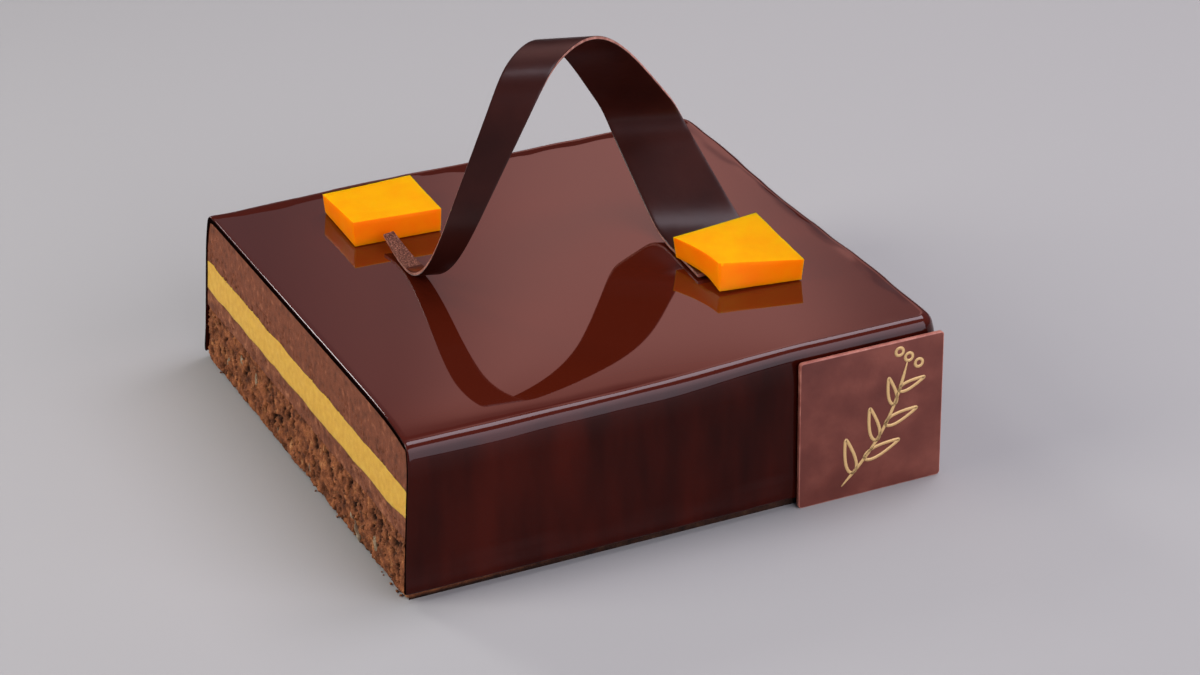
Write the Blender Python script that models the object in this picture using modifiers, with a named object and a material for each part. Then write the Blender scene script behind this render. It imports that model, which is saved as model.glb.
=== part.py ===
"""A square mirror-glazed brownie cake, trimmed on its left side so that its layers show.

Coarse brownie with walnuts, a fine chocolate mousse, a mango cream and a thicker mousse lie under a
skin of dark glaze. Two blocks of mango jelly and a long curled chocolate ribbon lie on the glaze,
and a square chocolate plaque stands against the front. All sizes are in metres, with Z up. While it
is modelled, the corner where the cut face meets the glazed front at the base is the origin.
"""
import math

import bmesh
import bpy
import numpy as np
from mathutils import Vector, noise

# The cake, over its glaze.
CAKE_LENGTH = 0.1795
CAKE_DEPTH = 0.1726
REAR_SKEW = 0.0025
CAKE_HEIGHT = 0.0530
CUT_LEAN = 0.0035
PLAN_RADIUS = 0.0080
WALL_STATIONS = 9
CORNER_STATIONS = 4
STATIONS = 3 * WALL_STATIONS + 2 * CORNER_STATIONS

# The glazed sides turn in at the top over a shoulder. The top falls away towards the front, but not
# on the right.
WALL_LEAN = 0.0004
TURN_START = 0.0370
SHOULDER_START = 0.0469
SHOULDER_INSET = 0.00120
SHOULDER_RADIUS = 0.0050
SHOULDER_ANGLES = (13.0, 75.4)
TOP_EDGE_INSET = 0.00485
FRONT_FALL = 0.00247
FRONT_FALL_LENGTH = 0.0095
FRONT_FALL_ENDS = (0.0880, 0.1180)
FRONT_FALL_RIGHT = 0.15
TOP_RING_INSETS = (0.0066, 0.0090, 0.0125, 0.0175, 0.0250, 0.0400)

# The layers, by the heights of the seams between them.
SEAM_GAP = 0.0004
BROWNIE_TOP = 0.0200
LOWER_MOUSSE_TOP = 0.0261
MANGO_TOP = 0.0359
SEAM_WAVE = 0.0004
SEAM_WAVE_DEPTH = 0.0080
CORNER_PINCH = 0.0012
CORNER_PINCH_REACH = 0.0120

# The glaze: thicker on the top, with a rounded lip along its lower edge.
GLAZE_TOP = 0.0019
GLAZE_SIDE = 0.0015
LIP_HEIGHT = 0.0030
LIP_BULGE = 0.0007
LIP_RISE = 0.0065
LIP_FADE = 0.0080

# The brownie's torn crumb on the cut face.
CRUMB_PITCH = 0.0019
CRUMB_ROUGHNESS = 0.0007
PIT_COUNT = 34
PIT_SIZES = (0.0012, 0.0026)
PIT_DEPTH = 0.0016
WALNUT_COUNT = 9
WALNUT_SIZES = (0.0020, 0.0042)
WALNUT_RELIEF = 0.0007
CRUMB_SEED = 7

# The cracks, holes and walnut bits that stand out near the front, by (y, z, size).
SHOWN_PITS = (
    (0.0655, 0.0159, 0.0022),
    (0.0631, 0.0136, 0.0022),
    (0.0608, 0.0113, 0.0024),
    (0.0586, 0.0091, 0.0022),
    (0.0424, 0.0102, 0.0028),
    (0.0283, 0.0147, 0.0026),
    (0.0228, 0.0148, 0.0020),
    (0.0112, 0.0145, 0.0026),
)
SHOWN_WALNUTS = (
    (0.0396, 0.0032, 0.0042),
    (0.0445, 0.0056, 0.0026),
    (0.0254, 0.0054, 0.0036),
)

# The jelly blocks: their corners left, near, right and back, at the top and at the foot.
JELLY_SEGMENTS = 8
LEFT_JELLY_TOP = ((0.0364, 0.1523), (0.0367, 0.1262), (0.0662, 0.1239), (0.0674, 0.1531))
LEFT_JELLY_FOOT = ((0.0372, 0.1529), (0.0364, 0.1246), (0.0656, 0.1235), (0.0669, 0.1523))
LEFT_JELLY_TOP_HEIGHTS = (0.0072, 0.0080, 0.0078, 0.0074)
RIGHT_JELLY_TOP = ((0.1210, 0.0696), (0.1258, 0.0476), (0.1520, 0.0403), (0.1520, 0.0728))
RIGHT_JELLY_FOOT = ((0.1219, 0.0694), (0.1243, 0.0439), (0.1516, 0.0412), (0.1508, 0.0712))
RIGHT_JELLY_TOP_HEIGHTS = (0.0093, 0.0087, 0.0076, 0.0100)
RIGHT_JELLY_FOOT_HEIGHTS = (0.0022, 0.0009, 0.0003, 0.0029)
RIGHT_JELLY_BOW = 0.0011
RIGHT_JELLY_SAG_END = 0.42
JELLY_EDGE = 0.0004
RESTING_GAP = 0.0003

# The ribbon: a tapering strip that was wound askew round a former while it was soft.
RIBBON_LENGTH = 0.2700
RIBBON_FIRST_WIDTH = 0.0035
RIBBON_LAST_WIDTH = 0.0285
RIBBON_THICKNESS = 0.0012
RIBBON_START = (0.0470, 0.1220, 0.0567)
RIBBON_AXIS_AZIMUTH = math.radians(-25)
RIBBON_TILT = math.radians(3)
RIBBON_TILT_ENDS = (0.74, 0.90)
RIBBON_SKEW = math.radians(24)
RIBBON_FIRST_HEADING = -14
RIBBON_BENDS = (
    (0.003, 0.029, 27),
    (0.017, 0.049, 91),
    (0.086, 0.023, 56),
    (0.088, 0.077, 80),
    (0.172, 0.020, 77),
    (0.209, 0.025, 42),
)
RIBBON_COURSE = (-0.012, 0.270)
RIBBON_SEGMENTS = 112

# The plaque that stands against the front.
PLAQUE_LEFT = 0.1281
PLAQUE_SIDE = 0.0493
PLAQUE_THICKNESS = 0.0015
PLAQUE_FRONT = -0.0020
PLAQUE_LEAN = math.radians(0.4)
PLAQUE_CORNER = 0.0011
PLAQUE_EDGE = 0.0003

COLLECTION = "brownie_cake"


def smooth(share):
    """A step from 0 to 1 with level ends."""
    share = min(max(share, 0.0), 1.0)
    return share * share * (3.0 - 2.0 * share)


def clear_scene():
    for old in list(bpy.data.objects):
        bpy.data.objects.remove(old, do_unlink=True)


def new_collection(name):
    collection = bpy.data.collections.new(name)
    bpy.context.scene.collection.children.link(collection)
    return collection


def new_material(name, colour, roughness, metallic=0.0):
    material = bpy.data.materials.new(name)
    material.use_nodes = True
    shader = material.node_tree.nodes["Principled BSDF"]
    shader.inputs["Base Color"].default_value = (*colour, 1.0)
    shader.inputs["Roughness"].default_value = roughness
    shader.inputs["Metallic"].default_value = metallic
    return material


def finish_mesh(bm, name, collection, material=None):
    """Turn a bmesh into a named object with its faces pointing out."""
    bmesh.ops.recalc_face_normals(bm, faces=bm.faces)
    mesh = bpy.data.meshes.new(name)
    bm.to_mesh(mesh)
    bm.free()
    piece = bpy.data.objects.new(name, mesh)
    collection.objects.link(piece)
    if material:
        mesh.materials.append(material)
    return piece


def apply_modifiers(piece):
    """Keep the piece's evaluated mesh and drop its modifiers."""
    graph = bpy.context.evaluated_depsgraph_get()
    mesh = bpy.data.meshes.new_from_object(piece.evaluated_get(graph))
    old = piece.data
    piece.modifiers.clear()
    piece.data = mesh
    bpy.data.meshes.remove(old)


def boolean(piece, other, operation):
    """Cut the piece by another closed body, or keep what the two share."""
    cut = piece.modifiers.new(operation.lower(), "BOOLEAN")
    cut.operation = operation
    cut.solver = "EXACT"
    cut.object = other
    other.hide_render = True
    other.display_type = "WIRE"


def cut_face_x(z):
    """The leaning plane of the cut, where a knife took the left side off."""
    return CUT_LEAN * z / CAKE_HEIGHT


def top_height(x, y):
    """The height of the glaze's top, which falls away towards the front and less so on the right."""
    first, last = FRONT_FALL_ENDS
    share = 1.0 - (1.0 - FRONT_FALL_RIGHT) * smooth((x - first) / (last - first))
    return CAKE_HEIGHT - FRONT_FALL * share * math.exp((TOP_EDGE_INSET - y) / FRONT_FALL_LENGTH)


def side_profile(base, side_depth=0.0, top_depth=0.0, arc_steps=6):
    """The section of a side as (inset, height, rise), from the foot over the shoulder to the top.

    The section lies under the glaze's outside by one depth at the sides and another at the top. The
    rise says how much of the local change in the top's height each point takes up.
    """
    points = [(side_depth, base, 0.0), (side_depth + WALL_LEAN, TURN_START, 0.0)]
    for share in (0.5, 1.0):
        z = TURN_START + share * (SHOULDER_START - TURN_START)
        turn = WALL_LEAN + (SHOULDER_INSET - WALL_LEAN) * share ** 2
        points.append((side_depth + turn, z, share ** 2))
    low, high = (math.radians(angle) for angle in SHOULDER_ANGLES)
    for step in range(1, arc_steps + 1):
        angle = low + (high - low) * step / arc_steps
        inset = SHOULDER_INSET + SHOULDER_RADIUS * (math.cos(low) - math.cos(angle))
        z = SHOULDER_START + SHOULDER_RADIUS * (math.sin(angle) - math.sin(low))
        turned = math.sin(angle) ** 2
        points.append((inset + side_depth * (1.0 - turned), z - top_depth * turned, 1.0))
    for inset in TOP_RING_INSETS:
        points.append((inset, CAKE_HEIGHT - top_depth, None))
    return points


def lip_swell(x, y, z):
    """The bulge of the glaze's lower edge, which dies out behind the plaque."""
    height = (z - LIP_HEIGHT) / LIP_RISE
    if height > 1.0:
        return 0.0
    behind_plaque = smooth((x - PLAQUE_LEFT + LIP_FADE) / LIP_FADE) * (1.0 - smooth(y / LIP_FADE))
    return LIP_BULGE * math.sin(math.pi * (0.28 + height * 0.72)) * (1.0 - behind_plaque)


def glaze_profile():
    """The outer section of the glaze, with more points where its lower edge swells into a lip."""
    lip = [(WALL_LEAN * z / TURN_START, z, 0.0)
           for z in np.linspace(LIP_HEIGHT, LIP_HEIGHT + LIP_RISE, 6)]
    return lip + side_profile(0.0)[1:]


def plan_station(station, inset):
    """A point on the three walls, running along the front, the right side and back along the rear.

    It is given by the station's number and how far inside the walls it lies, and comes with the
    outward direction there. The rear runs a little askew, so that the cake is deeper on the right.
    """
    right, front, rear = CAKE_LENGTH - inset, inset, CAKE_DEPTH - inset
    radius = max(PLAN_RADIUS - inset, 0.0002)
    along = station / WALL_STATIONS
    if along <= 1.0:
        return along * (right - radius), front, (0.0, -1.0)
    back_along = (STATIONS - station) / WALL_STATIONS
    if back_along <= 1.0:
        return back_along * (right - radius), rear + back_along * REAR_SKEW, (0.0, 1.0)
    rear += REAR_SKEW
    station -= WALL_STATIONS
    if station <= CORNER_STATIONS:
        angle = math.radians(-90 + 90 * station / CORNER_STATIONS)
        middle = front + radius
    elif station >= CORNER_STATIONS + WALL_STATIONS:
        angle = math.radians(90 * (station - CORNER_STATIONS - WALL_STATIONS) / CORNER_STATIONS)
        middle = rear - radius
    else:
        share = (station - CORNER_STATIONS) / WALL_STATIONS
        return right, front + radius + share * (rear - front - 2 * radius), (1.0, 0.0)
    way = (math.cos(angle), math.sin(angle))
    return right - radius + radius * way[0], middle + radius * way[1], way


def envelope(name, collection, profile, beyond_cut=0.0, swell=None):
    """A closed block with the cake's plan, lofted through a side profile and flat on its cut side."""
    rings = len(profile) - 1
    top_edge = CAKE_HEIGHT - FRONT_FALL
    bm = bmesh.new()
    bmesh.ops.create_grid(bm, x_segments=STATIONS, y_segments=rings, size=0.5)
    border = {}
    for vert in bm.verts:
        station = round((vert.co.x + 0.5) * STATIONS)
        ring = round((vert.co.y + 0.5) * rings)
        inset, z, rise = profile[ring]
        x, y, way = plan_station(station, inset)
        start = cut_face_x(z) - beyond_cut
        x = start + x * (CAKE_LENGTH - inset - start) / (CAKE_LENGTH - inset)
        if rise is None:
            z += top_height(x, y) - CAKE_HEIGHT
        elif rise:
            edge_x, edge_y, _ = plan_station(station, TOP_EDGE_INSET)
            z += rise * (top_height(edge_x, edge_y) - top_edge)
        if swell:
            out = swell(x, y, z)
            x += out * way[0]
            y += out * way[1]
        vert.co = (x, y, z)
        border[station, ring] = vert
    for ring in (0, rings):
        bm.faces.new([border[station, ring] for station in range(STATIONS + 1)])
    cut_outline = [border[0, ring] for ring in range(rings + 1)]
    cut_outline += [border[STATIONS, ring] for ring in reversed(range(rings + 1))]
    bm.faces.new(cut_outline)
    return finish_mesh(bm, name, collection)


def seam(height, x, y):
    """A seam between two layers: level inside the cake, and softly uneven where the cut shows it."""
    shown = 1.0 - smooth((x - cut_face_x(height)) / SEAM_WAVE_DEPTH)
    wave = noise.noise(Vector((height * 300, y * 90, 3.0))) * SEAM_WAVE * 2
    return height + wave * shown


def mango_foot(x, y):
    """The mango cream's underside lifts a little towards the front corner."""
    shown = 1.0 - smooth((x - cut_face_x(LOWER_MOUSSE_TOP)) / SEAM_WAVE_DEPTH)
    pinch = CORNER_PINCH * (1.0 - smooth(y / CORNER_PINCH_REACH))
    return seam(LOWER_MOUSSE_TOP, x, y) + pinch * shown


def mango_head(x, y):
    """The mango cream's upper side dips a little towards the front corner."""
    shown = 1.0 - smooth((x - cut_face_x(MANGO_TOP)) / SEAM_WAVE_DEPTH)
    pinch = CORNER_PINCH * 0.6 * (1.0 - smooth(y / CORNER_PINCH_REACH))
    return seam(MANGO_TOP, x, y) - pinch * shown


def crumb_features():
    """Pits and walnut bits, scattered by a seeded draw over the brownie's cut face."""
    draw = np.random.default_rng(CRUMB_SEED)
    pits = list(SHOWN_PITS)
    for _ in range(PIT_COUNT):
        size = draw.uniform(*PIT_SIZES)
        pits.append((draw.uniform(0.004, CAKE_DEPTH - 0.004), draw.uniform(0.002, 0.018), size))
    walnuts = list(SHOWN_WALNUTS)
    first = SHOWN_PITS[0][0]
    for index in range(WALNUT_COUNT):
        size = draw.uniform(*WALNUT_SIZES)
        place = (index + draw.uniform(0.2, 0.8)) / WALNUT_COUNT
        y = first + place * (CAKE_DEPTH - first)
        walnuts.append((y, draw.uniform(0.004, 0.013), size))
    return pits, walnuts


def crumb_relief(y, z, pits, walnuts):
    """How far the brownie's torn face lies behind the plane of the cut."""
    rough = noise.fractal(Vector((y * 240, z * 240, 1.0)), 0.8, 2.0, 3)
    depth = CRUMB_ROUGHNESS * (0.9 + rough)
    for pit_y, pit_z, size in pits:
        reach = math.hypot(y - pit_y, z - pit_z) / size
        depth += PIT_DEPTH * (1.0 - smooth(reach))
    for nut_y, nut_z, size in walnuts:
        reach = math.hypot((y - nut_y) * 0.8, z - nut_z) / size
        depth -= WALNUT_RELIEF * (1.0 - smooth(reach * 1.2 - 0.2))
    return max(depth, 0.0)


def layer_slab(name, collection, low, high, columns, rows, relief=None):
    """A block wider than the cake, with the cut face on its left and seams above and below."""
    bm = bmesh.new()
    bmesh.ops.create_cube(bm, size=1.0)
    cuts = ((0, 1), (1, columns - 1), (2, rows - 1))
    for axis, count in cuts:
        along = [edge for edge in bm.edges
                 if abs((edge.verts[0].co - edge.verts[1].co)[axis]) > 1e-6]
        if count:
            bmesh.ops.subdivide_edges(bm, edges=along, cuts=count, use_grid_fill=True)
    margin = 0.010
    for vert in bm.verts:
        across, along, up = (value + 0.5 for value in vert.co)
        y = -margin + along * (CAKE_DEPTH + 2 * margin)
        inner = (0.0, SEAM_WAVE_DEPTH, CAKE_LENGTH + margin)[round(across * 2)]
        z = low(inner, y) + up * (high(inner, y) - low(inner, y))
        x = inner
        if across < 0.25:
            x = cut_face_x(z)
            if relief:
                x += relief(y, z)
        vert.co = (x, y, z)
    return finish_mesh(bm, name, collection)


def make_layer(name, collection, cutters, material, low, high, columns, rows, relief=None):
    """One layer: the block inside the glaze, kept between two seams and behind the cut."""
    slab = layer_slab(name, collection, low, high, columns, rows, relief)
    profile = side_profile(0.0, GLAZE_SIDE + SEAM_GAP, GLAZE_TOP + SEAM_GAP)
    block = envelope(name + "_bounds", cutters, profile, beyond_cut=0.005)
    boolean(slab, block, "INTERSECT")
    apply_modifiers(slab)
    merge_flat_faces(slab)
    slab.data.materials.clear()
    slab.data.materials.append(material)
    return slab


def merge_flat_faces(piece):
    """Join the faces that lie in one plane, which the seams leave inside the cake."""
    bm = bmesh.new()
    bm.from_mesh(piece.data)
    bmesh.ops.remove_doubles(bm, verts=bm.verts, dist=0.000002)
    bmesh.ops.dissolve_limit(bm, angle_limit=math.radians(0.2), verts=bm.verts, edges=bm.edges)
    bmesh.ops.triangulate(bm, faces=bm.faces)
    bm.to_mesh(piece.data)
    bm.free()


def make_layers(collection, cutters):
    """The four layers, from the brownie up to the thick mousse."""
    pits, walnuts = crumb_features()

    def under_brownie(x, y):
        return -0.005

    def brownie_top(x, y):
        return seam(BROWNIE_TOP, x, y)

    def lower_mousse_foot(x, y):
        return brownie_top(x, y) + SEAM_GAP

    def lower_mousse_top(x, y):
        return mango_foot(x, y) - SEAM_GAP

    def upper_mousse_foot(x, y):
        return mango_head(x, y) + SEAM_GAP

    def over_mousse(x, y):
        return CAKE_HEIGHT + 0.010

    def torn(y, z):
        return crumb_relief(y, z, pits, walnuts)

    crumb_columns = round(CAKE_DEPTH / CRUMB_PITCH)
    brownie = new_material("brownie", (0.16, 0.062, 0.036), 0.9)
    fine_mousse = new_material("lower_mousse", (0.15, 0.058, 0.040), 0.75)
    cream = new_material("mango_cream", (0.68, 0.38, 0.085), 0.6)
    mousse = new_material("upper_mousse", (0.19, 0.074, 0.043), 0.75)
    make_layer("brownie", collection, cutters, brownie, under_brownie, brownie_top,
               crumb_columns, 13, torn)
    make_layer("lower_mousse", collection, cutters, fine_mousse, lower_mousse_foot,
               lower_mousse_top, 44, 1)
    make_layer("mango_cream", collection, cutters, cream, mango_foot, mango_head, 44, 1)
    make_layer("upper_mousse", collection, cutters, mousse, upper_mousse_foot, over_mousse, 44, 1)


def make_glaze(collection, cutters):
    """The glaze: the cake's outer form, hollowed by the block that it covers."""
    skin = envelope("mirror_glaze", collection, glaze_profile(), swell=lip_swell)
    core_profile = side_profile(-0.005, GLAZE_SIDE, GLAZE_TOP)
    core = envelope("glaze_core", cutters, core_profile, beyond_cut=0.006)
    boolean(skin, core, "DIFFERENCE")
    apply_modifiers(skin)
    skin.data.materials.clear()
    skin.data.materials.append(new_material("mirror_glaze", (0.045, 0.010, 0.007), 0.05))


def blend_corners(corners, across, along):
    """A value between four corners: left, near, right and back."""
    left, near, right, back = corners
    front = near + (right - near) * across
    rear = left + (back - left) * across
    return front + (rear - front) * along


def make_jelly(name, collection, material, top, foot, top_heights, foot_heights, bow, sag_end):
    """A hand-cut block of set mango jelly between its own top and foot outlines."""
    bm = bmesh.new()
    bmesh.ops.create_cube(bm, size=1.0)
    for axis in (0, 1):
        along = [edge for edge in bm.edges
                 if abs((edge.verts[0].co - edge.verts[1].co)[axis]) > 1e-6]
        bmesh.ops.subdivide_edges(bm, edges=along, cuts=JELLY_SEGMENTS - 1, use_grid_fill=True)
    for vert in bm.verts:
        across, along, up = (value + 0.5 for value in vert.co)
        outline = top if up > 0.5 else foot
        heights = top_heights if up > 0.5 else foot_heights
        x = blend_corners([corner[0] for corner in outline], across, along)
        y = blend_corners([corner[1] for corner in outline], across, along)
        x += bow * 4 * along * (1 - along) * (1 - across)
        reach = along
        if up < 0.5 and sag_end:
            reach = smooth(along / sag_end)
        z = CAKE_HEIGHT + blend_corners(heights, across, reach)
        vert.co = (x, y, z)
    piece = finish_mesh(bm, name, collection, material)
    edge = piece.modifiers.new("soft_edges", "BEVEL")
    edge.width = JELLY_EDGE
    edge.segments = 1
    edge.limit_method = "ANGLE"
    edge.angle_limit = math.radians(50)


def make_jellies(collection):
    jelly = new_material("mango_jelly", (0.92, 0.40, 0.004), 0.25)
    make_jelly("mango_jelly_left", collection, jelly, LEFT_JELLY_TOP, LEFT_JELLY_FOOT,
               LEFT_JELLY_TOP_HEIGHTS, (RESTING_GAP,) * 4, 0.0, 0.0)
    make_jelly("mango_jelly_right", collection, jelly, RIGHT_JELLY_TOP, RIGHT_JELLY_FOOT,
               RIGHT_JELLY_TOP_HEIGHTS, RIGHT_JELLY_FOOT_HEIGHTS, RIGHT_JELLY_BOW,
               RIGHT_JELLY_SAG_END)


def ribbon_course():
    """The former's section: how far back and how high the strip is at each place along it."""
    along = np.linspace(*RIBBON_COURSE, 1129)
    heading = np.full_like(along, RIBBON_FIRST_HEADING)
    for start, run, turn in RIBBON_BENDS:
        share = np.clip((along - start) / run, 0.0, 1.0)
        heading += turn * share * share * (3 - 2 * share)
    angle = np.radians(heading)
    step = along[1] - along[0]
    mid = (angle[1:] + angle[:-1]) / 2
    back = np.concatenate(([0.0], np.cumsum(-np.cos(mid) * step)))
    up = np.concatenate(([0.0], np.cumsum(np.sin(mid) * step)))
    return along, back - np.interp(0.0, along, back), up - np.interp(0.0, along, up)


def make_ribbon(collection):
    """The ribbon: a flat strip bent round the former's section, askew to it, then thickened."""
    along, back, up = ribbon_course()
    axis = (math.cos(RIBBON_AXIS_AZIMUTH), math.sin(RIBBON_AXIS_AZIMUTH))
    first, last = RIBBON_TILT_ENDS
    bm = bmesh.new()
    bmesh.ops.create_grid(bm, x_segments=RIBBON_SEGMENTS, y_segments=1, size=0.5)
    for vert in bm.verts:
        share = vert.co.x + 0.5
        width = RIBBON_FIRST_WIDTH + (RIBBON_LAST_WIDTH - RIBBON_FIRST_WIDTH) * share
        run = RIBBON_LENGTH * share
        side = vert.co.y * width
        place = run * math.cos(RIBBON_SKEW) - side * math.sin(RIBBON_SKEW)
        drift = run * math.sin(RIBBON_SKEW)
        across = side * math.cos(RIBBON_SKEW)
        behind = float(np.interp(place, along, back))
        height = float(np.interp(place, along, up))
        level = 1.0 - smooth((share - first) / (last - first))
        x = RIBBON_START[0] + (drift + across) * axis[0] - behind * axis[1]
        y = RIBBON_START[1] + (drift + across) * axis[1] + behind * axis[0]
        z = RIBBON_START[2] + height + math.tan(RIBBON_TILT) * (drift + across * level)
        vert.co = (x, y, z)
    chocolate = new_material("ribbon_chocolate", (0.11, 0.040, 0.028), 0.25)
    piece = finish_mesh(bm, "chocolate_ribbon", collection, chocolate)
    thickness = piece.modifiers.new("thickness", "SOLIDIFY")
    thickness.thickness = RIBBON_THICKNESS
    thickness.offset = 0.0
    thickness.use_even_offset = True


def make_plaque(collection):
    """A square tile of chocolate, standing on its edge and leaning as the cake's side does."""
    lean = PLAQUE_LEAN
    bpy.ops.mesh.primitive_cube_add(size=1.0)
    piece = bpy.context.object
    piece.name = piece.data.name = "chocolate_plaque"
    for other in list(piece.users_collection):
        other.objects.unlink(piece)
    collection.objects.link(piece)
    size = Vector((PLAQUE_SIDE, PLAQUE_THICKNESS, PLAQUE_SIDE))
    for vert in piece.data.vertices:
        vert.co = Vector(part * whole for part, whole in zip(vert.co, size))
    bm = bmesh.new()
    bm.from_mesh(piece.data)
    corners = [edge for edge in bm.edges
               if abs((edge.verts[0].co - edge.verts[1].co).y) > PLAQUE_THICKNESS / 2]
    bmesh.ops.bevel(bm, geom=corners, offset=PLAQUE_CORNER, segments=3, affect="EDGES", profile=0.5)
    bm.to_mesh(piece.data)
    bm.free()
    edge = piece.modifiers.new("worn_edges", "BEVEL")
    edge.width = PLAQUE_EDGE
    edge.segments = 2
    edge.limit_method = "ANGLE"
    edge.angle_limit = math.radians(60)
    half = PLAQUE_SIDE / 2
    tilt_rise = half * math.cos(lean) + PLAQUE_THICKNESS / 2 * math.sin(lean)
    piece.rotation_euler = (-lean, 0.0, 0.0)
    piece.location = (PLAQUE_LEFT + half,
                      PLAQUE_FRONT + PLAQUE_THICKNESS / 2 + half * math.sin(lean),
                      tilt_rise)
    piece.data.materials.append(new_material("plaque_chocolate", (0.125, 0.048, 0.034), 0.4))
    return piece


def centre_on_base(collection):
    """Hang every piece on an empty that brings the middle of the base to the origin."""
    bpy.context.view_layer.update()
    pieces = list(collection.objects)
    corners = [piece.matrix_world @ Vector(corner) for piece in pieces for corner in piece.bound_box]
    middle = [(min(corner[axis] for corner in corners) + max(corner[axis] for corner in corners)) / 2
              for axis in (0, 1)]
    origin = bpy.data.objects.new("cake_origin", None)
    collection.objects.link(origin)
    origin.location = (-middle[0], -middle[1], 0.0)
    for piece in pieces:
        piece.parent = origin


def build():
    clear_scene()
    collection = new_collection(COLLECTION)
    cutters = new_collection("cutters")
    make_layers(collection, cutters)
    make_glaze(collection, cutters)
    make_jellies(collection)
    make_ribbon(collection)
    make_plaque(collection)
    centre_on_base(collection)


build()
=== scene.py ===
"""Looks for a square mirror-glazed brownie cake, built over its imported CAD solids.

Places are given from the corner where the cut face meets the glazed front at the base, in metres:
X along the front, Y along the cut face to the back, Z up.
"""

import math

import bmesh
import bpy
import numpy as np
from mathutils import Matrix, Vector, noise


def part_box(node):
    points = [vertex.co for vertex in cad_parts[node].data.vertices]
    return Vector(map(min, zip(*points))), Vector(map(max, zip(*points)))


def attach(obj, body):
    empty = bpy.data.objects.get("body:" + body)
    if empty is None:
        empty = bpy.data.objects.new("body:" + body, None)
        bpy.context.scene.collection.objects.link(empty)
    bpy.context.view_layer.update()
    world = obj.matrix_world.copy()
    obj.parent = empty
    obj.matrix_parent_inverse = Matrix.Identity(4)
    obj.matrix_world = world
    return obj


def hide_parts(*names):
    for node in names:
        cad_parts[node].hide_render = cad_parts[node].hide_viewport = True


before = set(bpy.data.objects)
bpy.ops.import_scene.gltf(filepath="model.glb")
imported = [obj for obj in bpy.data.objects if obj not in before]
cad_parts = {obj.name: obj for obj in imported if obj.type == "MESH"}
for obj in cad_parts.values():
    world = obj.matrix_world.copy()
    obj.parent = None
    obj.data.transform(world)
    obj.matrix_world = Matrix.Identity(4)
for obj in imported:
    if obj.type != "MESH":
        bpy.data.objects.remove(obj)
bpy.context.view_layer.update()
# The plaque's CAD node ends 177.4 mm to the right of the corner and stands 2 mm in front of it.
plaque_low, plaque_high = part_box("chocolate_plaque")
corner = Vector((plaque_high[0] - 0.1774, plaque_low[1] + 0.0020, 0.0))

# ---------------------------------------------------------------- brownie
# The base: a coarse, moist chocolate brownie, baked in a sheet and trimmed with the whole cake. The
# knife tore its crumb, so the cut is full of pits and cracks, with pale walnut bits showing in it.

# The cake's height, its length along the front and its depth along the cut. The cut leans in by
# LEAN over the height, and the rear runs askew, so the cake is SKEW deeper at its right end.
HEIGHT, LENGTH, DEPTH, LEAN, SKEW = 0.0530, 0.1795, 0.1726, 0.0035, 0.0025
# The glazed walls have turned over into the top at this inset. The top falls this much at the front.
TOP_INSET, FRONT_FALL = 0.00485, 0.00247
BROWNIE_TOP = 0.0200
# The three lower layers stay this far inside the glazed walls, and a slit parts neighbours.
LAYER_INSET, SLIT = 0.0019, 0.00006


def add_piece(name, verts, faces, material, replaced):
    """Put a mesh at the cake's corner, let it ride on the cake and stand for its CAD node."""
    mesh = bpy.data.meshes.new(name)
    mesh.from_pydata([tuple(map(float, vert)) for vert in verts], [], faces)
    mesh.materials.append(material)
    mesh.polygons.foreach_set("use_smooth", [True] * len(mesh.polygons))
    outward = bmesh.new()
    outward.from_mesh(mesh)
    bmesh.ops.recalc_face_normals(outward, faces=outward.faces)
    outward.to_mesh(mesh)
    outward.free()
    piece = bpy.data.objects.new(name, mesh)
    bpy.context.collection.objects.link(piece)
    piece.location = corner
    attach(piece, "root")
    if replaced:
        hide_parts(replaced)
    return piece


def set_inputs(node, values):
    """Set a node's own sockets by their names."""
    for label, value in values.items():
        node.inputs[label].default_value = value


def new_material(name, colour, roughness, specular=0.5, subsurface=0.0, reach=0.004):
    """A material with one Principled shader, returned with that shader."""
    material = bpy.data.materials.new(name)
    material.use_nodes = True
    shader = material.node_tree.nodes["Principled BSDF"]
    set_inputs(shader, {"Base Color": (*colour, 1.0), "Roughness": roughness,
                        "Specular IOR Level": specular})
    if subsurface:
        set_inputs(shader, {"Subsurface Weight": subsurface, "Subsurface Scale": reach})
    return material, shader


def smooth(value):
    """A step from 0 to 1 with level ends."""
    value = np.clip(value, 0.0, 1.0)
    return value * value * (3 - 2 * value)


def new_group(name, taken, given):
    """A node group with named sockets, each (name, kind), returned with its two end nodes."""
    group = bpy.data.node_groups.new(name, "ShaderNodeTree")
    for way, sockets in (("INPUT", taken), ("OUTPUT", given)):
        for label, kind in sockets:
            group.interface.new_socket(label, in_out=way, socket_type="NodeSocket" + kind)
    return group, group.nodes.new("NodeGroupInput"), group.nodes.new("NodeGroupOutput")


def wire(tree, *links):
    """Link nodes, each link given as (node, its output, node, its input)."""
    for source, leaving_by, target, entering_by in links:
        tree.links.new(source.outputs[leaving_by], target.inputs[entering_by])


def place_group(tree, group, values):
    """Place a node group in a material with the material's own values."""
    placed = tree.nodes.new("ShaderNodeGroup")
    placed.node_tree = group
    set_inputs(placed, values)
    return placed


def set_stops(ramp, stops):
    """Give a colour ramp its stops, each (position, colour)."""
    elements = ramp.color_ramp.elements
    while len(elements) < len(stops):
        elements.new(0.5)
    for element, (position, colour) in zip(elements, stops):
        element.position = position
        element.color = (*colour, 1.0)


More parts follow.
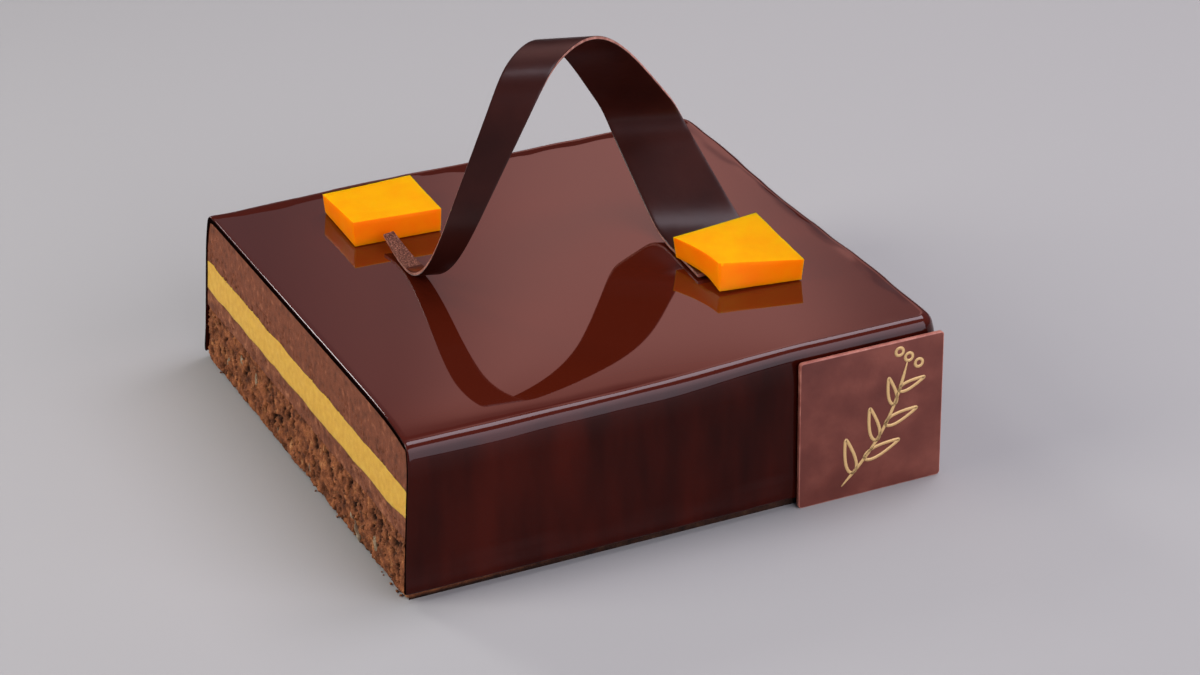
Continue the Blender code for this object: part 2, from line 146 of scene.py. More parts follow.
# Fine noise that most of the cake's parts share: broad patches as a mask for colour, and a grain
# seven times finer for the bump.
mottle, entry, leaving = new_group("mottle", [("Scale", "Float")],
                                   [("Mask", "Float"), ("Grain", "Float")])
spread = mottle.nodes.new("ShaderNodeTexCoord")
broad = mottle.nodes.new("ShaderNodeTexNoise")
set_inputs(broad, {"Detail": 4.0})
finer = mottle.nodes.new("ShaderNodeMath")
finer.operation = "MULTIPLY"
finer.inputs[1].default_value = 7.0
grain = mottle.nodes.new("ShaderNodeTexNoise")
set_inputs(grain, {"Detail": 3.0})
wire(mottle, (entry, "Scale", broad, "Scale"), (entry, "Scale", finer, 0), (finer, 0, grain, "Scale"),
     (spread, "Object", broad, "Vector"), (spread, "Object", grain, "Vector"),
     (broad, "Fac", leaving, "Mask"), (grain, "Fac", leaving, "Grain"))


def mottled(shader, scale, stops, height, source="Mask"):
    """Colour a shader from the mottle through a ramp, and roughen it with the mottle's grain."""
    tree = shader.id_data
    group = place_group(tree, mottle, {"Scale": scale})
    ramp = tree.nodes.new("ShaderNodeValToRGB")
    set_stops(ramp, stops)
    bump = tree.nodes.new("ShaderNodeBump")
    set_inputs(bump, {"Distance": height})
    wire(tree, (group, source, ramp, "Fac"), (ramp, "Color", shader, "Base Color"),
         (group, "Grain", bump, "Height"), (bump, "Normal", shader, "Normal"))


# The torn parts of a cut are painted darker the farther they lie behind the knife's plane: painted shade
# in the crumb's pits and cracks.
painted_hollow_shade, entry, leaving = new_group(
    "painted_hollow_shade", [("Color", "Color"), ("Shallow", "Float"), ("Deep", "Float"), ("Dark", "Float")],
    [("Color", "Color")])
behind = painted_hollow_shade.nodes.new("ShaderNodeAttribute")
behind.attribute_name = "torn_depth"
dimming = painted_hollow_shade.nodes.new("ShaderNodeMapRange")
set_inputs(dimming, {"To Min": 1.0})
dimmed = painted_hollow_shade.nodes.new("ShaderNodeMix")
dimmed.data_type = "RGBA"
dimmed.blend_type = "MULTIPLY"
set_inputs(dimmed, {"Factor": 1.0})
wire(painted_hollow_shade, (behind, "Fac", dimming, "Value"), (entry, "Shallow", dimming, "From Min"),
     (entry, "Deep", dimming, "From Max"), (entry, "Dark", dimming, "To Max"),
     (entry, "Color", dimmed, "A"), (dimming, "Result", dimmed, "B"),
     (dimmed, "Result", leaving, "Color"))


def shade_hollows(shader, shallow, deep, dark):
    """Put the painted hollow shade group between a shader and the colour that it has so far."""
    tree = shader.id_data
    group = place_group(tree, painted_hollow_shade, {"Shallow": shallow, "Deep": deep, "Dark": dark})
    tree.links.new(shader.inputs["Base Color"].links[0].from_socket, group.inputs["Color"])
    tree.links.new(group.outputs["Color"], shader.inputs["Base Color"])


def cut_plane(z):
    """How far the leaning cut stands to the right of the corner at a height."""
    return LEAN * z / HEIGHT


def top_height(x, y):
    """The height of the glaze's top, which falls away towards the front and less so on the right."""
    fade_run, right_share, fall_run = 0.066, 0.85, 0.0095
    share = 1.0 - right_share * float(smooth((x - fade_run) / fade_run))
    return HEIGHT - FRONT_FALL * share * math.exp((TOP_INSET - y) / fall_run)


def side_section(lift):
    """The glazed side's section over its foot, as (inset, height, normal's rise), at a local lift.

    It is almost upright up to the shoulder, bends in faster and faster, and ends in an arc.
    """
    foot_z, shoulder_z, bend_rise, arc_z = 0.0115, 0.0370, 0.01099, 0.04799
    wall_inset, bend_inset, arc_inset, arc_radius = 0.0004, 0.00152, 0.00192, 0.0042
    points = [(wall_inset * z / shoulder_z, z, 0.0) for z in np.linspace(foot_z, shoulder_z, 14)[:-1]]
    for share in np.linspace(0, 1, 18)[:-1]:
        points.append((wall_inset + bend_inset * share ** 2.63,
                       shoulder_z + share * (bend_rise + lift), 0.34 * share))
    angles = np.radians(np.linspace(20.0, 75.4, 14))
    for angle in angles:
        points.append((arc_inset + arc_radius * (math.cos(angles[0]) - math.cos(angle)),
                       arc_z + arc_radius * (math.sin(angle) - math.sin(angles[0])) + lift,
                       math.sin(angle)))
    return points


def cut_slab(name, columns, rows, low, high, relief, inset, material, node, cover=0.0,
             rear_bevel=0.0):
    """A layer, finely modelled where the cut shows it and plain where its neighbours hide it.

    low and high give its heights along the cut, and relief how far its crumb lies behind the
    knife's plane. It stays inset behind the glazed walls, and cover below the glazed top.
    """
    walls = []
    for lift, bevel in ((0.0, 0.0), (FRONT_FALL, rear_bevel)):
        side = [(inset, 0.0)]
        for wall, z, rise in side_section(lift):
            side.append((wall + inset * (1 - rise ** 2) + bevel * rise, z - cover * rise ** 2))
        walls.append(np.array(side).T)
    (front_wall, front_z), (rear_wall, rear_z) = walls
    step_y = np.linspace(0, 1, columns + 1)
    step_z = np.linspace(0, 1, rows + 1)
    if cover:
        # The steps are closer together where the shoulders bend.
        step_y = step_y - 0.055 * np.sin(2 * math.pi * step_y)
        step_z = 1 - (1 - step_z) ** 1.35
    verts, faces, torn = [], [], []
    for up in step_z:
        for along in step_y:
            y = inset + along * (DEPTH - 2 * inset)
            for _ in range(2 if cover else 1):
                z = low(y) + up * (high(y) - low(y))
                near = np.interp(z, front_z, front_wall)
                far = DEPTH - np.interp(z, rear_z, rear_wall)
                y = near + along * (far - near)
            torn.append(relief(y, z))
            verts.append((cut_plane(z) + torn[-1], y, z))
    across = columns + 1
    for row in range(rows):
        for a in range(row * across, row * across + columns):
            faces.append((a, a + 1, a + across + 1, a + across))
    rim = list(range(across))
    rim += [row * across + columns for row in range(1, rows + 1)]
    rim += [rows * across + column for column in range(columns - 1, -1, -1)]
    rim += [row * across for row in range(rows - 1, 0, -1)]
    # From the cut's rim the hidden sides run straight to a flat end behind the right wall.
    end_gap, hidden_shade_depth = 0.0044, 0.004
    count = len(verts)
    for index in rim:
        _, y, z = verts[index]
        verts.append((LENGTH - inset - end_gap, y * (1 + SKEW / DEPTH), z))
    for number, index in enumerate(rim):
        ahead = (number + 1) % len(rim)
        faces.append((index, count + number, count + ahead, rim[ahead]))
    faces.append(tuple(range(count, count + len(rim))))
    piece = add_piece(name, verts, faces, material, node)
    # The hidden sides get a depth past any crumb's, so the hollows' painted shade turns them fully dark:
    # painted shade on the brownie strip under the glaze's lip.
    shade = piece.data.attributes.new("torn_depth", "FLOAT", "POINT")
    shade.data.foreach_set("value", torn + [hidden_shade_depth] * len(rim))


# In the shapes below, a noise's factor is its height in metres, and its place is multiplied by its
# waves a metre.
def seam(height, y):
    """The gently uneven line where two layers meet on the cut."""
    fine = noise.noise(Vector((height * 300, y * 620, 6.0))) * 0.00014
    return height + noise.noise(Vector((height * 300, y * 90, 3.0))) * 0.0008 + fine


# Pits in the crumb as (y, z, radius, depth in mm, turn, stretch): first the row of large round ones
# that the cut shows, then small ones strewn all over it, most of them stretched upright.
PITS = [(0.0655, 0.0159, 0.0014, 1.9), (0.0640, 0.0145, 0.0014, 2.1), (0.0625, 0.0130, 0.0014, 2.1),
        (0.0608, 0.0113, 0.0015, 2.1), (0.0592, 0.0097, 0.0014, 1.9), (0.0424, 0.0102, 0.0024, 2.7),
        (0.0412, 0.0125, 0.0014, 1.9), (0.0283, 0.0147, 0.0021, 2.8), (0.0262, 0.0150, 0.0017, 2.3),
        (0.0228, 0.0148, 0.0017, 2.1), (0.0112, 0.0145, 0.0022, 2.5), (0.0092, 0.0152, 0.0014, 1.6)]
PITS = [pit + (0.0, 1.0) for pit in PITS]
draw = np.random.default_rng(11)
for _ in range(290):
    size = draw.uniform(0.0004, 0.0010) if draw.random() < 0.8 else draw.uniform(0.0010, 0.0016)
    PITS.append((draw.uniform(0.002, DEPTH - 0.002), draw.uniform(0.001, 0.0195), size,
                 0.6 + size * 1100, math.radians(draw.normal(95, 28)), draw.uniform(1.0, 2.8)))
pit_y, pit_z, pit_size, pit_depth, pit_turn, pit_stretch = (np.array(column) for column in zip(*PITS))
# Walnut bits as (y, z, size): three along the front part of the cut, then five strewn behind them.
WALNUTS = [(0.0396, 0.0036, 0.0015), (0.0446, 0.0060, 0.0008), (0.0254, 0.0064, 0.0014)]
for index in range(5):
    WALNUTS.append((0.070 + (index + draw.uniform(0.1, 0.9)) * 0.020, draw.uniform(0.003, 0.014),
                    draw.uniform(0.0007, 0.0012)))


def torn_crumb(y, z):
    """How deep the torn crumb lies behind the plane of the cut."""
    spot = Vector((y, z, 0.0))
    clump = noise.fractal(spot * 170, 0.7, 2.1, 4)
    cell = noise.voronoi(spot * 600)[0][0]
    fine = noise.voronoi(spot * 1250 + Vector((4.0, 1.0, 0.0)))[0][0]
    cell_mean, foot_wear, foot_run, least = 0.35, 0.0010, 0.0016, 0.00012
    depth = 0.00060 + 0.00055 * clump + 0.00050 * (cell - cell_mean) + 0.00075 * (fine - cell_mean)
    off_y, off_z = y - pit_y, z - pit_z
    long_way = (off_y * np.cos(pit_turn) + off_z * np.sin(pit_turn)) / pit_stretch
    short_way = off_z * np.cos(pit_turn) - off_y * np.sin(pit_turn)
    wobble = 1.0 + 0.6 * noise.noise(spot * 900)
    holes = pit_depth * 0.001 * (1 - smooth(np.hypot(long_way, short_way) / pit_size * wobble))
    depth += float(np.max(holes))
    depth += foot_wear * float(smooth((foot_run - z) / foot_run))
    return max(depth, least)


brownie_material, shader = new_material("brownie_crumb", (0.17, 0.062, 0.028), 0.85, specular=0.25)
mottled(shader, 330.0, [(0.30, (0.110, 0.033, 0.014)), (0.43, (0.285, 0.090, 0.034)),
                        (0.55, (0.415, 0.137, 0.051)), (0.64, (0.52, 0.180, 0.060)),
                        (0.73, (0.68, 0.31, 0.125))], 0.0006)
# Painted shade in the crumb's pits and cracks, darker the deeper they lie behind the cut.
shade_hollows(shader, 0.0006, 0.0020, 0.10)
cut_slab("cut_brownie", 460, 56, lambda y: 0.0, lambda y: seam(BROWNIE_TOP, y), torn_crumb,
         LAYER_INSET, brownie_material, "brownie")


def mesh_lists(shape):
    """The points and faces of a bmesh as plain lists. The bmesh is freed."""
    shape.verts.index_update()
    points = [vert.co.copy() for vert in shape.verts]
    faces = [tuple(vert.index for vert in face.verts) for face in shape.faces]
    shape.free()
    return points, faces


def unit_ball(subdivisions):
    """The points and faces of a faceted ball with a radius of 1."""
    ball = bmesh.new()
    bmesh.ops.create_icosphere(ball, subdivisions=subdivisions, radius=1.0)
    return mesh_lists(ball)


# Walnut bits: broken nuts that the knife went through or left standing, pale with a brown skin.
# They and the crumbs stay behind the foot of the cut, and above the base.
FOREMOST = 0.0002
walnut_material, shader = new_material("walnut", (0.42, 0.31, 0.19), 0.6)
mottled(shader, 420.0, [(0.35, (0.15, 0.080, 0.040)), (0.50, (0.36, 0.25, 0.14)),
                        (0.68, (0.60, 0.49, 0.33))], 0.0002)
ball_points, ball_faces = unit_ball(3)
verts, faces = [], []
for number, (y, z, size) in enumerate(WALNUTS):
    turn = math.radians(draw.normal(85, 22))
    long_way, short_way = draw.uniform(1.5, 2.3), draw.uniform(0.55, 0.9)
    base = len(verts)
    for point in ball_points:
        rough = 1.0 + 0.40 * noise.fractal(point * 1.6 + Vector((number * 7.0, 0, 0)), 0.9, 2.0, 3)
        a, b = point.y * long_way * rough, point.z * short_way * rough
        out = cut_plane(z) + 0.0011 + point.x * rough * size * 0.6
        verts.append((max(out, FOREMOST), y + size * (a * math.cos(turn) - b * math.sin(turn)),
                      max(z + size * (a * math.sin(turn) + b * math.cos(turn)), 0.0003)))
    faces += [tuple(base + index for index in face) for face in ball_faces]
add_piece("walnut_bits", verts, faces, walnut_material, None)

# Loose crumbs of brownie on the cut and a few along its foot, orange-brown where they are thin.
crumb_material, shader = new_material("loose_crumb", (0.22, 0.075, 0.03), 0.8)
mottled(shader, 500.0, [(0.35, (0.13, 0.042, 0.016)), (0.62, (0.36, 0.13, 0.038))], 0.0002)
ball_points, ball_faces = unit_ball(2)
CRUMBS, FOOT_CRUMBS = 230, 9
verts, faces = [], []
for number in range(CRUMBS):
    size = draw.uniform(0.00020, 0.00055) * (1.0 if number % 9 else 1.5)
    y = draw.uniform(0.001, DEPTH - 0.002)
    if number < FOOT_CRUMBS:
        y = y if number % 3 == 0 else draw.uniform(0.001, 0.024)
        x, z = draw.uniform(0.0003, 0.0014), size * 0.55
    else:
        z = draw.uniform(size, 0.0192)
        x = cut_plane(z) + torn_crumb(y, z)
    base = len(verts)
    for point in ball_points:
        rough = 1.0 + 0.45 * noise.noise(point * 1.7 + Vector((number * 5.0, 0, 0)))
        verts.append((max(x + point.x * size * rough, FOREMOST), y + point.y * size * rough,
                      max(z + point.z * size * rough * 0.8, 0.00005)))
    faces += [tuple(base + index for index in face) for face in ball_faces]
add_piece("loose_crumbs", verts, faces, crumb_material, None)

# ---------------------------------------------------------------- lower mousse
# A thin layer of dark chocolate mousse, spread on the brownie and set. It is finer than the crumb
# under it, with small air holes, and it is a little smeared where the knife dragged through it.


def mousse_face(y, z, hole, seed, drag=0.00018):
    """How deep the mousse lies behind the cut: smears from the knife, and patches of air holes."""
    spot = Vector((y, z, seed))
    smear = noise.fractal(Vector((y * 60, z * 260, seed)), 0.9, 2.0, 3)
    cell = noise.voronoi(spot * 620)[0][0]
    fine = noise.voronoi(spot * 1300)[0][0]
    airy = float(smooth(0.55 + 2.2 * noise.noise(spot * 160)))
    pores = airy * (max(0.0, 0.36 - cell) + 0.5 * max(0.0, 0.30 - fine))
    return max(0.00024 + drag * smear + hole * pores * 3.4, 0.00002)


def pinch(y):
    """1 at the front corner, where the cream is squeezed thinner, falling to 0 along the cut."""
    return 1 - float(smooth(y / 0.012))


def mango_foot(y):
    """The height of the cream's lower side along the cut."""
    return seam(0.0261, y) + 0.0012 * pinch(y)


def mango_head(y):
    """The height of the cream's upper side along the cut."""
    return seam(0.0359, y) - 0.0007 * pinch(y)


lower_material, shader = new_material("fine_mousse", (0.20, 0.068, 0.030), 0.7, specular=0.3)
mottled(shader, 330.0, [(0.25, (0.105, 0.028, 0.011)), (0.45, (0.215, 0.062, 0.024)),
                        (0.58, (0.280, 0.086, 0.034)), (0.70, (0.48, 0.18, 0.080))], 0.00035)
# Painted shade in the mousse's air holes, darker the deeper they lie behind the cut.
shade_hollows(shader, 0.0003, 0.0010, 0.10)
cut_slab("cut_lower_mousse", 460, 20, lambda y: seam(BROWNIE_TOP, y) + SLIT,
         lambda y: mango_foot(y) - SLIT, lambda y, z: mousse_face(y, z, 0.0007, 2.0), LAYER_INSET,
         lower_material, "lower_mousse")

# ---------------------------------------------------------------- mango cream
# Set mango cream, poured as one sheet. The cut is smooth and slightly grainy, deeper orange in
# places, and pinched where it reaches the front corner.


def cream_face(y, z):
    """How deep the cream lies behind the cut, smeared a little by the knife."""
    drag = noise.fractal(Vector((y * 50, z * 200, 9.0)), 0.9, 2.0, 3)
    return max(0.00020 + 0.00010 * drag, 0.00002)


mango_material, shader = new_material("mango_cream", (0.74, 0.40, 0.050), 0.5, specular=0.3,
                                      subsurface=0.25)
set_inputs(shader, {"Subsurface Radius": (1.0, 0.5, 0.12)})
mottled(shader, 420.0, [(0.28, (0.77, 0.39, 0.040)), (0.50, (0.84, 0.46, 0.053)),
                        (0.72, (0.90, 0.53, 0.074))], 0.00012)
cut_slab("cut_mango_cream", 400, 20, mango_foot, mango_head, cream_face, LAYER_INSET,
         mango_material, "mango_cream")

# ---------------------------------------------------------------- upper mousse
# The thick chocolate mousse that fills the cake up to the glaze, with rounded shoulders where it was
# frozen in its mould. Air holes gather along its lower edge.

# The glaze covers it this deep at the cut, and fills the bevel along its rear shoulder.
GLAZE_COVER, REAR_BEVEL = 0.00240, 0.0034


def airy_face(y, z):
    """The mousse's own cut, with larger air holes towards the cream under it."""
    low_share = 1.0 - float(smooth((z - 0.0370) / 0.0065))
    return mousse_face(y, z, 0.00022 + 0.00095 * low_share, 5.0, 0.00010)


upper_material, shader = new_material("chocolate_mousse", (0.20, 0.062, 0.026), 0.7, specular=0.3)
mottled(shader, 420.0, [(0.28, (0.130, 0.034, 0.013)), (0.45, (0.218, 0.060, 0.023)),
                        (0.60, (0.250, 0.069, 0.027)), (0.73, (0.40, 0.130, 0.058))], 0.00028)
# Painted shade in the mousse's air holes, darker the deeper they lie behind the cut.
shade_hollows(shader, 0.0003, 0.0010, 0.10)
cut_slab("cut_upper_mousse", 460, 48, lambda y: mango_head(y) + SLIT,
         lambda y: top_height(0.0, y) - GLAZE_COVER, airy_face, 0.0016, upper_material,
         "upper_mousse", GLAZE_COVER, REAR_BEVEL)

# ---------------------------------------------------------------- mirror glaze
# Dark chocolate glaze, poured over the frozen cake and left to run. It is level and mirror-smooth on
# top, thinner on the sides, and gathered in a rounded lip that stops short of the base.

# The lip's section from its hidden side to the wall above it, as (inset, height).
LIP = ((0.00140, 0.00330), (0.00060, 0.00302), (0.00005, 0.00300), (-0.00035, 0.00318),
       (-0.00058, 0.00360), (-0.00068, 0.00420), (-0.00070, 0.00490), (-0.00062, 0.00570),
       (-0.00048, 0.00660), (-0.00030, 0.00770), (-0.00014, 0.00880), (-0.00003, 0.01000))
SIDE_THICKNESS, TOP_THICKNESS_SHARE, PLAN_RADIUS = 0.00145, 1.56, 0.008
top_insets = TOP_INSET + (DEPTH / 2 - TOP_INSET) * np.linspace(0, 1, 50)[1:] ** 1.45
# Stations round the three walls, close together near the cut, where the glaze's edge is rounded.
near_cut = np.array([0.0, 0.00012, 0.0003, 0.0006, 0.0011, 0.0020, 0.0036, 0.006, 0.009])
front_run = np.concatenate((near_cut / LENGTH, np.linspace(0.066, 1.0, 66)))
walls = [("front", share) for share in front_run]
walls += [("near_arc", angle) for angle in np.radians(np.linspace(-90, 0, 9))[1:-1]]
walls += [("right", share) for share in np.linspace(0, 1, 66)]
walls += [("far_arc", angle) for angle in np.radians(np.linspace(0, 90, 9))[1:-1]]
walls += [("rear", share) for share in front_run[::-1]]


def wall_point(wall, inward):
    """A point on the walls at one height, with the outward direction there."""
    kind, value = wall
    radius = max(PLAN_RADIUS - inward, 0.0)
    right, front, rear = LENGTH - inward, inward, DEPTH - inward
    askew = SKEW * (1 - 2 * inward / DEPTH)
    if kind == "front":
        return value * (right - radius), front, (0.0, -1.0)
    if kind == "rear":
        return value * (right - radius), rear + askew * value, (0.0, 1.0)
    rear += askew
    if kind == "right":
        return right, front + radius + value * (rear - front - 2 * radius), (1.0, 0.0)
    way = (math.cos(value), math.sin(value))
    middle = front + radius if kind == "near_arc" else rear - radius
    return right - radius + radius * way[0], middle + radius * way[1], way


def edge_dip(x, y):
    """How far the top sinks where the glaze ran off over the rear and the right, along a wavy line."""
    spot = Vector((x, y, 0.0))
    rear_run, rear_dip, right_run, right_dip = 0.0098, 0.00070, 0.0078, 0.00055
    wave = 1.0 + 0.42 * noise.noise(spot * 48) + 0.26 * noise.noise(spot * 130 + Vector((3.0, 0, 0)))
    behind = max(0.0, 1 - (DEPTH + SKEW * x / LENGTH - y) / (rear_run * wave))
    aside = max(0.0, 1 - (LENGTH - x) / (right_run * wave)) * float(smooth((y - 0.003) / 0.014))
    return rear_dip * behind ** 1.25 + right_dip * aside ** 1.2


def glaze_top(x, y):
    """The height of the glaze's top with the dips along its edges."""
    return top_height(x, y) - edge_dip(x, y)


def inner_point(kind, place, way, inward, rise):
    """A point of the glaze's hidden side, which lies deeper on top than on the walls."""
    x, y, height = place
    turned = rise ** 2
    out = -SIDE_THICKNESS * (1 - turned)
    if kind == "rear":
        bevel_share = math.exp(-(x / 0.012) ** 2 - max(inward - TOP_INSET, 0.0) / 0.0030)
        out -= REAR_BEVEL * rise * bevel_share
    under = height - SIDE_THICKNESS * TOP_THICKNESS_SHARE * turned
    return x + out * way[0], y + out * way[1], max(under, 0.0034)


def flat_noise(x, y, waves, layer):
    """Noise over the cake's plan, at a number of waves a metre."""
    return noise.noise(Vector((x * waves, y * waves, layer)))


def outer_point(kind, place, way, inward, rise, on_lip):
    """A point of the glaze's outer side, with the waves and the lip that it set in."""
    x, y, height = place
    spot = Vector(place)
    turned = rise ** 2
    past_cut = x - cut_plane(height)
    # The front wall keeps its plain form where the plaque leans on it.
    plaque_side, fade_run, wander_foot = 0.1201, 0.008, 0.030
    bare = 1 - float(smooth((x - plaque_side) / fade_run) * (1 - smooth(y / fade_run)))
    out = 0.0
    if kind != "front" and height > wander_foot:
        # The rim wanders, but not by the cut or the front, and it calms down inwards on the top.
        wander = 0.0011 * noise.noise(spot * 26) + 0.0005 * noise.noise(spot * 75)
        calm = float(smooth((height - wander_foot) / 0.016)) * float(smooth((y - 0.004) / 0.012))
        calm *= math.exp(-(max(inward - 0.0048, 0.0) / 0.0016) ** 2) * float(smooth(x / fade_run))
        out += wander * calm
        height += 0.00035 * noise.noise(spot * 33 + Vector((0, 0, 7.0))) * calm
    if on_lip:
        swell = 0.86 + 0.26 * noise.noise(spot * 70) + 0.12 * noise.noise(spot * 230)
        out = -inward * swell * bare if inward < 0 else -inward
        height += 0.00028 * flat_noise(x, y, 45, 1.0)
        height += 0.00010 * flat_noise(x, y, 220, 4.0)
    else:
        low = 1 - float(smooth((height - 0.010) / 0.020))
        wave = 0.00010 * noise.noise(spot * 55) + 0.00008 * low * noise.noise(spot * 170)
        wave += 0.00030 * noise.noise(spot * 34) * float(smooth(past_cut / 0.010))
        out += wave * (1 - turned) * bare
        ripple = 0.00008 * flat_noise(x, y, 45, 8.0)
        ripple += 0.00004 * flat_noise(x, y, 160, 5.0)
        ripple *= math.exp(-((inward - 0.0050) / 0.0022) ** 2)
        height += 0.000012 * noise.noise(spot * 42) * turned + ripple
    # The edge along the cut is rounded.
    edge_run, edge_drop = 0.0011, 0.00042
    edge = max(0.0, 1.0 - past_cut / edge_run) if kind in ("front", "rear") else 0.0
    soft = edge_drop * (1 - math.sqrt(max(1 - edge * edge, 0.0)))
    return x + out * way[0], y + (out - soft * (1 - turned)) * way[1], height - soft * turned


def glaze_station(wall, hidden):
    """The points of the glaze along one station, from under the lip to the middle of the top."""
    edge_x, edge_y, _ = wall_point(wall, TOP_INSET)
    lift = glaze_top(edge_x, edge_y) - (HEIGHT - FRONT_FALL)
    rows = [(inward, z, 0.0, True) for inward, z in LIP]
    rows += [(inward, z, rise, False) for inward, z, rise in side_section(lift)]
    rows += [(inward, None, 1.0, False) for inward in top_insets]
    column = []
    for inward, z, rise, on_lip in rows:
        wall_inset = 0.0 if on_lip else inward
        x, y, way = wall_point(wall, wall_inset)
        height = glaze_top(x, y) if z is None else z
        start = cut_plane(height)
        x = start + x * (LENGTH - wall_inset - start) / (LENGTH - wall_inset)
        if hidden:
            column.append(inner_point(wall[0], (x, y, height), way, wall_inset, rise))
        else:
            column.append(outer_point(wall[0], (x, y, height), way, inward, rise, on_lip))
    return column


def skin_faces(rows, columns):
    """The faces of a skin whose outer grid of points comes first and whose inner one follows.

    They close it along both sides too, and come with the numbers of the faces that do so.
    """
    shift = rows * columns
    faces, sides = [], []
    for row in range(rows - 1):
        for a in range(row * columns, row * columns + columns - 1):
            faces.append((a, a + 1, a + columns + 1, a + columns))
            faces.append((shift + a, shift + a + columns, shift + a + columns + 1, shift + a + 1))
        for a in (row * columns, row * columns + columns - 1):
            sides.append(len(faces))
            faces.append((a, a + columns, shift + a + columns, shift + a))
    return faces, sides


verts = []
for hidden in (False, True):
    for row in zip(*[glaze_station(wall, hidden) for wall in walls]):
        verts += row
columns = len(walls)
shift = len(verts) // 2
faces, knife_faces = skin_faces(shift // columns, columns)
for column in range(columns - 1):
    faces.append((column, shift + column, shift + column + 1, column + 1))

# On top the glaze shows its own red brown under a mirror. On the walls it is darker, in soft runs,
# and shines less; the darker colour is painted shade, set by how far the surface turns from level.
GLAZE_COLOUR = (0.075, 0.0085, 0.0030)
glaze_material, shader = new_material("mirror_glaze", GLAZE_COLOUR, 0.03, specular=0.06)
set_inputs(shader, {"Coat IOR": 1.44, "Coat Roughness": 0.03})
tree = glaze_material.node_tree
facing = tree.nodes.new("ShaderNodeNewGeometry")
upward = tree.nodes.new("ShaderNodeSeparateXYZ")
level = tree.nodes.new("ShaderNodeMapRange")
level.interpolation_type = "SMOOTHSTEP"
set_inputs(level, {"From Min": 0.16, "From Max": 0.85})
shine = tree.nodes.new("ShaderNodeMapRange")
set_inputs(shine, {"From Min": 0.04, "From Max": 0.72, "To Min": 0.13})
spread = tree.nodes.new("ShaderNodeTexCoord")
drawn = tree.nodes.new("ShaderNodeMapping")
set_inputs(drawn, {"Scale": (1.0, 1.0, 0.22)})
runs = tree.nodes.new("ShaderNodeTexNoise")
set_inputs(runs, {"Scale": 62.0, "Detail": 3.0})
# Painted shade: the walls' colour is darkened where the surface turns away from level.
wall_shade_ramp = tree.nodes.new("ShaderNodeValToRGB")
set_stops(wall_shade_ramp, [(0.32, (0.019, 0.0018, 0.0009)), (0.70, (0.054, 0.0050, 0.0020))])
wall_shade_mix = tree.nodes.new("ShaderNodeMix")
wall_shade_mix.data_type = "RGBA"
wall_shade_mix.inputs["B"].default_value = (*GLAZE_COLOUR, 1.0)
wire(tree, (facing, "Normal", upward, "Vector"), (upward, "Z", level, "Value"),
     (upward, "Z", shine, "Value"), (shine, "Result", shader, "Coat Weight"),
     (spread, "Object", drawn, "Vector"), (drawn, "Vector", runs, "Vector"),
     (runs, "Fac", wall_shade_ramp, "Fac"), (wall_shade_ramp, "Color", wall_shade_mix, "A"),
     (level, "Result", wall_shade_mix, "Factor"), (wall_shade_mix, "Result", shader, "Base Color"))
# The glaze's knife-cut faces are painted near black: painted shade, not the glaze's own colour.
knife_cut_shade_material = new_material("glaze_knife_cut_shade", (0.0050, 0.0014, 0.0012), 0.6, specular=0.0)[0]
glaze = add_piece("glaze_skin", verts, faces, glaze_material, "mirror_glaze")
glaze.data.materials.append(knife_cut_shade_material)
for index in knife_faces:
    glaze.data.polygons[index].material_index = 1
merged = bmesh.new()
merged.from_mesh(glaze.data)
bmesh.ops.remove_doubles(merged, verts=merged.verts, dist=0.00001)
bmesh.ops.recalc_face_normals(merged, faces=merged.faces)
merged.to_mesh(glaze.data)
merged.free()

# ---------------------------------------------------------------- mango jellies
# Two blocks of firm mango jelly, cut by hand from a sheet and laid on the set glaze. Light runs
# through their edges. The right one sags over the foot of the ribbon, and its left side is hollow.


def new_jelly(name, greens, glow):
    """Clear orange jelly in three close tints, with a faint painted glow for the light that it passes
    on.
    """
    stops = [(position, (1.0, green, 0.001)) for position, green in zip((0.30, 0.50, 0.72), greens)]
    material, shader = new_material(name, stops[1][1], 0.38, specular=0.03, subsurface=1.0,
                                    reach=0.0045)
    set_inputs(shader, {"Subsurface Radius": (1.0, 0.42, 0.04),
                        "Emission Color": (1.0, 0.20, 0.0, 1.0), "Emission Strength": glow})
    mottled(shader, 90.0, stops, 0.00008)
    return material


# One jelly in two copies that differ only by light: the sides get deeper, redder tints and a stronger
# painted glow, painted shade and painted light for light passing through the block.
jelly_top_lit = new_jelly("mango_jelly_top", (0.34, 0.38, 0.42), 0.03)
jelly_side_shaded = new_jelly("mango_jelly_side", (0.17, 0.21, 0.25), 0.17)


def between(values, across, along):
    """A value between four corners, given round from the back left by way of the front left."""
    front = values[1] + (values[2] - values[1]) * across
    rear = values[0] + (values[3] - values[0]) * across
    return front + (rear - front) * along


